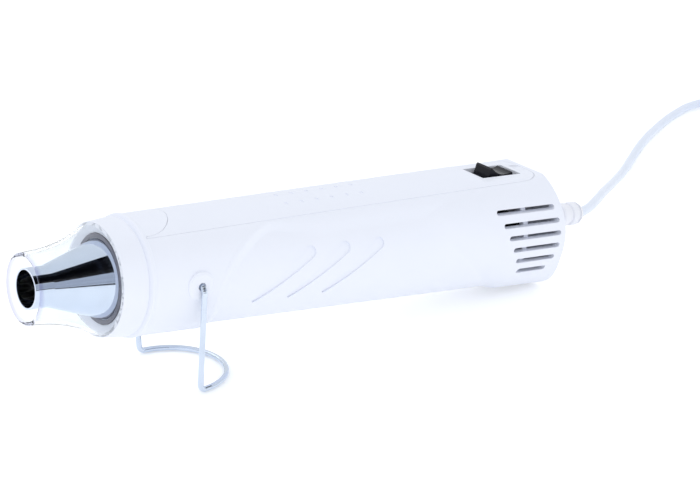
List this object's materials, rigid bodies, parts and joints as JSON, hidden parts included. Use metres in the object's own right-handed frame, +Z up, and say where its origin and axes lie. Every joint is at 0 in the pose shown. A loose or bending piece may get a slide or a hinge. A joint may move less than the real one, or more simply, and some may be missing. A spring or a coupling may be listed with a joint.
{
  "type": "embossing heat tool",
  "caption": "Pen-style hot air tool for embossing: round white housing, clear guard round a chromed nozzle, folding wire stand, rocker switch on top and a mains lead.",
  "frame": {"origin": "centre of the bottom of the object's bounding box in its resting pose, lead and plug left out, on the table", "axes": "+X from the nozzle to the tail along the table, +Y away from the side shown in the picture, +Z up; the tool's own axis is nose up by the resting tilt"},
  "size_m": [0.5904, 0.1829, 0.0733],
  "materials": {
    "shell_white": "satin",
    "clear_plastic": "gloss",
    "chromed_steel": "mirror",
    "chromed_wire": "mirror",
    "grey_ring": "matte",
    "mica": "matte",
    "resistance_wire": "dull",
    "cutout_metal": "satin",
    "brown_insulator": "matte",
    "black_plastic": "matte",
    "bright_steel": "satin",
    "grey_plastic": "matte",
    "board_green": "satin",
    "component_dark": "satin",
    "rocker_black": "gloss",
    "terminal_brass": "satin",
    "wire_insulation": "matte",
    "sleeve_white": "matte",
    "cord_white": "satin"
  },
  "bodies": {
    "tool": {"left_shell": "shell_white", "right_shell": "shell_white", "top_panel": "shell_white", "front_collar": "shell_white", "clear_guard": "clear_plastic", "nozzle": "chromed_steel", "heat_shield_ring": "grey_ring", "heater_core": "mica", "heater_coil": "resistance_wire", "mica_sleeve": "mica", "thermal_cutout": "cutout_metal", "air_duct": "brown_insulator", "motor_can": "bright_steel", "motor_cap": "black_plastic", "motor_mount": "grey_plastic", "rectifier_board": "board_green", "board_parts": "component_dark", "switch_body": "black_plastic", "switch_terminals": "terminal_brass", "cord_clamp": "black_plastic", "clamp_screws": "bright_steel", "housing_screws": "bright_steel", "inner_leads": "wire_insulation", "strain_relief": "sleeve_white", "power_cord": "cord_white", "cord_coil": "cord_white", "cord_tie": "black_plastic", "plug_body": "cord_white", "plug_pins": "terminal_brass"},
    "stand": {"wire_stand": "chromed_wire"},
    "switch_rocker": {"rocker": "rocker_black"},
    "fan": {"fan_wheel": "black_plastic", "motor_shaft": "bright_steel"}
  },
  "joints": [
    {"name": "stand_hinge", "type": "hinge", "parent": "tool", "child": "stand", "pos_m": [-0.07729, 0, 0.0471], "axis": [0, 1, 0], "range_deg": [-25, 68]},
    {"name": "switch_hinge", "type": "hinge", "parent": "tool", "child": "switch_rocker", "pos_m": [0.09127, 0, 0.05162], "axis": [0, 1, 0], "range_deg": [-26, 0]},
    {"name": "fan_axis", "type": "hinge", "parent": "tool", "child": "fan", "pos_m": [-0.02379, 0, 0.04135], "axis": [0.9961, 0, -0.0884], "continuous": true}
  ]
}
